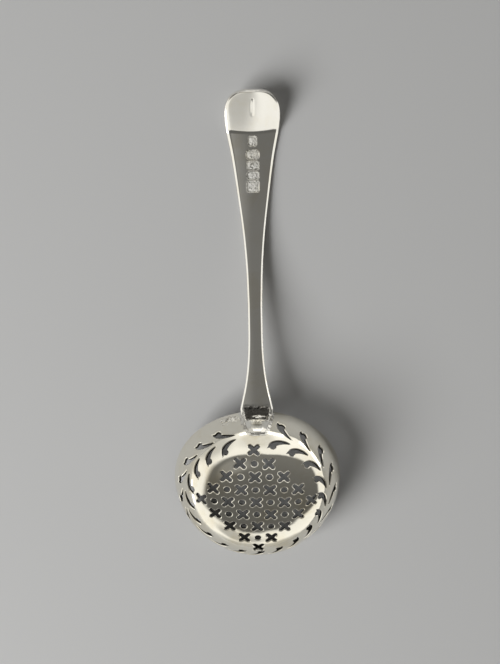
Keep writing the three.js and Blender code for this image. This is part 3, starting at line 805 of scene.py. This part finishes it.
def soft_step(tree, value, low, high):
    """A soft rise from 0 at low to 1 at high, and level beyond them."""
    values = {"Value": value, "From Min": low, "From Max": high}
    return node(tree, "ShaderNodeMapRange", values, interpolation_type="SMOOTHSTEP").outputs["Result"]


def speckle(tree, place, scale, detail, roughness, distortion=0.0):
    """Uneven values between 0 and 1 over the surface."""
    values = {"Vector": place, "Scale": scale, "Detail": detail, "Roughness": roughness}
    return node(tree, "ShaderNodeTexNoise", {**values, "Distortion": distortion}).outputs["Fac"]


def mix_colours(tree, mask, a, b):
    """Mixes two colours, which are the mix node's sockets 6 and 7 and its output 2."""
    made = node(tree, "ShaderNodeMix", {"Factor": mask}, data_type="RGBA")
    feed(tree, a, made.inputs[6])
    feed(tree, b, made.inputs[7])
    return made.outputs[2]


def hand_worn_metal():
    """Fine rubbing scratches, soft hammer waves and patchy tarnish, which every silver finish here shares."""
    group = bpy.data.node_groups.new("hand_worn_metal", "ShaderNodeTree")
    start, end = group_sockets(
        group,
        (
            ("Stretch", "NodeSocketVector", (1.0, 1.0, 1.0)),
            ("Scratch Size", "NodeSocketFloat", 900.0),
            ("Wave Size", "NodeSocketFloat", 140.0),
            ("Tarnish Size", "NodeSocketFloat", 90.0),
        ),
        (("Scratches", "NodeSocketFloat"), ("Waves", "NodeSocketFloat"), ("Tarnish", "NodeSocketFloat")),
    )
    place = node(group, "ShaderNodeTexCoord").outputs["Object"]
    stretched = node(group, "ShaderNodeVectorMath", operation="MULTIPLY")
    feed(group, place, stretched.inputs[0])
    feed(group, start.outputs["Stretch"], stretched.inputs[1])
    scratches = speckle(group, stretched.outputs[0], start.outputs["Scratch Size"], 4.0, 0.7)
    waves = speckle(group, place, start.outputs["Wave Size"], 1.0, 0.4)
    tarnish = speckle(group, place, start.outputs["Tarnish Size"], 5.0, 0.6, 0.4)
    feed(group, scratches, end.inputs["Scratches"])
    feed(group, waves, end.inputs["Waves"])
    feed(group, soft_step(group, tarnish, 0.42, 0.72), end.inputs["Tarnish"])
    return group


def new_finish(name, worn, values):
    """A silver finish: its material, node tree and shader, and the worn metal with this finish's values."""
    material = bpy.data.materials.new(name)
    material.use_nodes = True
    tree = material.node_tree
    surface = tree.nodes["Principled BSDF"]
    surface.inputs["Metallic"].default_value = 1.0
    return material, tree, surface, node(tree, "ShaderNodeGroup", values, node_tree=worn)


def attribute(tree, name):
    return node(tree, "ShaderNodeAttribute", attribute_name=name).outputs["Fac"]


def bumps(tree, surface, layers):
    """Bump nodes in a row: each layer is a height and how many metres its full swing is."""
    under = {}
    for height, depth in layers:
        values = {"Strength": 1.0, "Distance": depth, "Height": height, **under}
        under = {"Normal": node(tree, "ShaderNodeBump", values).outputs["Normal"]}
    feed(tree, under["Normal"], surface.inputs["Normal"])


BRIGHT_SILVER = (0.92, 0.905, 0.855, 1.0)
CREAM_SILVER = (0.93, 0.90, 0.80, 1.0)
WARM_SILVER = (0.84, 0.77, 0.60, 1.0)
# Dark painted shade for the bowl's inner face, so that the inside of the bowl stays dark
PAINTED_INSIDE_SHADE = (0.11, 0.10, 0.085, 1.0)
DARK_TARNISH = (0.10, 0.09, 0.075, 1.0)
# Near-black painted shade, for the walls of the bowl's holes and the crease over the joint
PAINTED_SHADE_BLACK = (0.03, 0.027, 0.022, 1.0)
PALE_SOLDER = (0.88, 0.86, 0.80, 1.0)
DULL_SOLDER = (0.26, 0.24, 0.20, 1.0)


def bowl_silver(worn):
    """Warm polished silver, with painted shade: dark on the inner face of the bowl and near-black on the
    walls of its holes.
    """
    material, tree, surface, wear = new_finish(
        "polished_bowl_silver", worn, {"Scratch Size": 1400.0, "Wave Size": 130.0, "Tarnish Size": 110.0}
    )
    cut_wall = attribute(tree, "cut_wall")
    inner_face = attribute(tree, "inner_face")
    tarnish = maths(tree, "MULTIPLY", wear.outputs["Tarnish"], 0.9)
    # Painted shade: the walls of the holes are made near-black so that the holes read as dark and shaded
    painted_hole_shade = maths(tree, "MULTIPLY", cut_wall, 0.85)
    # Painted shade: the inner face of the bowl is darkened, over the silver with its patchy tarnish
    silver_with_painted_inside_shade = mix_colours(tree, inner_face, mix_colours(tree, tarnish, CREAM_SILVER, WARM_SILVER), PAINTED_INSIDE_SHADE)
    feed(tree, mix_colours(tree, painted_hole_shade, silver_with_painted_inside_shade, PAINTED_SHADE_BLACK), surface.inputs["Base Color"])
    rubbed = maths(tree, "MULTIPLY_ADD", wear.outputs["Scratches"], 0.06, 0.04)
    unpolished = maths(tree, "MULTIPLY", maths(tree, "MAXIMUM", cut_wall, inner_face), 0.3)
    feed(tree, maths(tree, "ADD", rubbed, unpolished, clamp=True), surface.inputs["Roughness"])
    bumps(tree, surface, ((wear.outputs["Waves"], 0.0002), (wear.outputs["Scratches"], 0.000006)))
    return material


def stem_silver(worn):
    """Bright polished silver, with worn and stained cartouches and painted shade in the crease at the joint.
    """
    material, tree, surface, wear = new_finish(
        "polished_stem_silver",
        worn,
        {"Stretch": (1.0, 0.12, 1.0), "Scratch Size": 1600.0, "Wave Size": 90.0, "Tarnish Size": 120.0},
    )
    punched = attribute(tree, "punched")
    crease = attribute(tree, "crease")
    pits = speckle(tree, node(tree, "ShaderNodeTexCoord").outputs["Object"], 1500.0, 3.0, 0.6)
    tarnish = maths(tree, "MULTIPLY", wear.outputs["Tarnish"], 0.35)
    warm = mix_colours(tree, tarnish, BRIGHT_SILVER, WARM_SILVER)
    uneven = maths(tree, "MULTIPLY", maths(tree, "SUBTRACT", pits, 0.5), 1.6)
    # Painted shade: the crease over the joint is darkened to near-black with a ragged edge
    ragged = span(tree, maths(tree, "ADD", crease, uneven), 0.3, 0.7, 0.0, 0.92)
    in_crease = maths(tree, "MINIMUM", maths(tree, "MULTIPLY", crease, 4.0), 1.0)
    painted_crease_shade = maths(tree, "MULTIPLY", ragged, in_crease)
    stains = maths(tree, "MULTIPLY", span(tree, pits, 0.54, 0.64, 0.0, 0.7), punched)
    colour = mix_colours(tree, stains, mix_colours(tree, painted_crease_shade, warm, PAINTED_SHADE_BLACK), DARK_TARNISH)
    feed(tree, colour, surface.inputs["Base Color"])
    field = maths(tree, "MULTIPLY", punched, maths(tree, "SUBTRACT", 1.0, stains))
    feed(tree, span(tree, field, 0.0, 1.0, 1.0, 0.35), surface.inputs["Metallic"])
    rough = maths(tree, "MULTIPLY_ADD", wear.outputs["Scratches"], 0.10, 0.06)
    rough = maths(tree, "ADD", rough, maths(tree, "MULTIPLY", punched, 0.25))
    rough = maths(tree, "ADD", rough, maths(tree, "MULTIPLY", crease, 0.2), clamp=True)
    feed(tree, rough, surface.inputs["Roughness"])
    pitted = maths(tree, "MULTIPLY", pits, maths(tree, "MAXIMUM", punched, crease))
    bumps(
        tree,
        surface,
        ((wear.outputs["Waves"], 0.00003), (wear.outputs["Scratches"], 0.000004), (pitted, 0.0008)),
    )
    return material


def solder_silver(worn):
    """Grey, blotchy and lumpy silver solder."""
    material, tree, surface, wear = new_finish(
        "grey_silver_solder", worn, {"Scratch Size": 1100.0, "Wave Size": 900.0, "Tarnish Size": 500.0}
    )
    tarnish = wear.outputs["Tarnish"]
    feed(tree, mix_colours(tree, tarnish, PALE_SOLDER, DULL_SOLDER), surface.inputs["Base Color"])
    feed(tree, maths(tree, "MULTIPLY_ADD", tarnish, 0.25, 0.22), surface.inputs["Roughness"])
    bumps(tree, surface, ((wear.outputs["Waves"], 0.00025), (wear.outputs["Scratches"], 0.00008)))
    return material


# Stage

FLOOR_HALF = 1.5
FLOOR_COLOUR = (0.56, 0.56, 0.555, 1.0)
FLOOR_ROUGHNESS = 0.75


def stage():
    """A plain pale floor."""
    mesh = bpy.data.meshes.new("floor")
    r = FLOOR_HALF
    mesh.from_pydata([(-r, -r, 0), (r, -r, 0), (r, r, 0), (-r, r, 0)], [], [(0, 1, 2, 3)])
    material = bpy.data.materials.new("pale_floor")
    material.use_nodes = True
    surface = material.node_tree.nodes["Principled BSDF"]
    surface.inputs["Base Color"].default_value = FLOOR_COLOUR
    surface.inputs["Roughness"].default_value = FLOOR_ROUGHNESS
    mesh.materials.append(material)
    floor = bpy.data.objects.new("floor", mesh)
    bpy.context.scene.collection.objects.link(floor)


# Directions that the board overhead covers, in a flat map of the sky: middle, half size and squareness
BOARD_MIDDLE = (0.12, -0.095)
BOARD_HALF = (0.6, 0.415)
BOARD_CORNERS = 3.0

# Brightness of the board, from its near edge to its far one, and of the room, from the board's edge outwards:
# where each starts and ends, and its value there
BOARD_TONE = (-0.3, 0.22, 0.115, 0.17)
ROOM_TONE = (1.0, 1.8, 0.94, 1.06)

# The board's edge is soft: it starts at a share of the board's size and ends further out on the left
BOARD_EDGE_START = 0.95
BOARD_EDGE_END = (-0.5, -0.2, 1.2, 1.06)

# Softer parts of the room that the silver mirrors: middle and half size in the same map, and brightness
ROOM_PARTS = (
    ((-0.75, 0.68), (0.62, 0.5), 0.6),
    ((0.0, 0.72), (0.34, 0.34), 0.75),
    ((0.05, -0.98), (0.85, 0.24), 0.5),
    ((-0.14, -0.66), (0.26, 0.17), 0.5),
    ((-0.19, 0.06), (0.2, 0.2), 0.26),
)
PART_EDGE = (1.0, 0.45)

# Colour of the room, and the share of its brightness that lights what doesn't mirror it
ROOM_COLOUR = (1.0, 0.985, 0.94, 1)
ROOM_LIGHT_SHARE = 0.3

# Lamps: name, place, the point they face, width, height, watts, and whether the silver mirrors them
LAMPS = (
    ("left_strip", (-0.6, -0.24, 0.035), (0, -0.05, 0.02), 0.3, 0.045, 0.08, True),
    ("right_strip", (0.53, 0.24, 0.035), (0, -0.03, 0.02), 0.4, 0.04, 0.1, True),
    ("back_strip", (0.05, 0.62, 0.06), (0, -0.03, 0.015), 0.5, 0.05, 0.12, True),
    ("floor_softbox", (-0.9, -0.55, 0.8), (0, 0, 0), 0.8, 0.8, 20, False),
)


def area_light(name, place, aim, width, height, watts, mirrored):
    light = bpy.data.lights.new(name, "AREA")
    light.shape = "RECTANGLE"
    light.size, light.size_y = width, height
    light.energy = watts
    lamp = bpy.data.objects.new(name, light)
    bpy.context.scene.collection.objects.link(lamp)
    lamp.location = place
    lamp.rotation_euler = (Vector(aim) - Vector(place)).to_track_quat("-Z", "Y").to_euler()
    lamp.visible_glossy = mirrored


def off_middle(tree, across, ahead, middle, half, corners=2.0):
    """How far a direction is from the middle of an oval part of the sky, where its edge is 1."""
    parts = []
    for value, centre, size in zip((across, ahead), middle, half):
        off = maths(tree, "ABSOLUTE", maths(tree, "DIVIDE", maths(tree, "SUBTRACT", value, centre), size))
        parts.append(maths(tree, "POWER", off, corners))
    return maths(tree, "POWER", maths(tree, "ADD", *parts), 1 / corners)


def studio():
    """A pale room with a dark board overhead, three low strip lights, and a softbox that only lights.

    The silver mirrors the room, the board and the strips. The softbox gives the spoon its shadow.
    """
    world = bpy.data.worlds.new("studio")
    bpy.context.scene.world = world
    world.use_nodes = True
    tree = world.node_tree
    toward = node(tree, "ShaderNodeTexCoord").outputs["Generated"]
    x, y, z = node(tree, "ShaderNodeSeparateXYZ", {"Vector": toward}).outputs
    level = maths(tree, "MAXIMUM", maths(tree, "ADD", z, 1.0), 0.1)
    across = maths(tree, "DIVIDE", x, level)
    ahead = maths(tree, "DIVIDE", y, level)
    from_board = off_middle(tree, across, ahead, BOARD_MIDDLE, BOARD_HALF, BOARD_CORNERS)
    off_board = soft_step(tree, from_board, BOARD_EDGE_START, span(tree, across, *BOARD_EDGE_END))
    board = span(tree, ahead, *BOARD_TONE)
    light = blend(tree, off_board, board, span(tree, from_board, *ROOM_TONE))
    for middle, half, strength in ROOM_PARTS:
        share = soft_step(tree, off_middle(tree, across, ahead, middle, half), *PART_EDGE)
        light = blend(tree, share, light, strength)
    ray = node(tree, "ShaderNodeLightPath")
    seen = maths(tree, "MAXIMUM", ray.outputs["Is Camera Ray"], ray.outputs["Is Glossy Ray"])
    seen = maths(tree, "MAXIMUM", seen, ray.outputs["Is Transmission Ray"])
    strength = maths(tree, "MULTIPLY", light, span(tree, seen, 0.0, 1.0, ROOM_LIGHT_SHARE, 1.0))
    background = tree.nodes["Background"]
    feed(tree, strength, background.inputs["Strength"])
    feed(tree, ROOM_COLOUR, background.inputs["Color"])
    for lamp in LAMPS:
        area_light(*lamp)


# Camera, fitted to the photo: lens and sensor in millimetres, lean, roll and place from the bowl's middle
CAMERA_LENS = 57.6
SENSOR_WIDTH = 36.0
CAMERA_LEAN = math.radians(4.442)
CAMERA_ROLL = math.radians(0.885)
CAMERA_FROM_BOWL = (-1.68, 66.12, 252.94)


def camera():
    data = bpy.data.cameras.new("camera")
    data.sensor_fit = "HORIZONTAL"
    data.sensor_width = SENSOR_WIDTH
    data.lens = CAMERA_LENS
    data.clip_start = 0.01
    eye = bpy.data.objects.new("camera", data)
    bpy.context.scene.collection.objects.link(eye)
    back = Vector((0, math.sin(CAMERA_LEAN), math.cos(CAMERA_LEAN)))
    up = Vector((math.sin(CAMERA_ROLL), math.cos(CAMERA_ROLL), 0))
    right = up.cross(back).normalized()
    up = back.cross(right)
    turn = Matrix((right, up, back)).transposed().to_4x4()
    place = Vector(CAMERA_FROM_BOWL) + Vector((0, BOWL_CENTRE_Y, 0))
    eye.matrix_world = Matrix.Translation(place * MM) @ turn
    bpy.context.scene.camera = eye


bpy.context.scene.view_settings.view_transform = "Standard"
worn_metal = hand_worn_metal()

bowl = pierced_bowl(bowl_silver(worn_metal))
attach(bowl, "root")
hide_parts("pierced_bowl")

stem = stem_and_drop(stem_silver(worn_metal))
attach(stem, "root")
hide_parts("stem")

solder = solder_bead(solder_silver(worn_metal))
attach(solder, "root")
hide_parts("solder_seam")

stage()
studio()
camera()
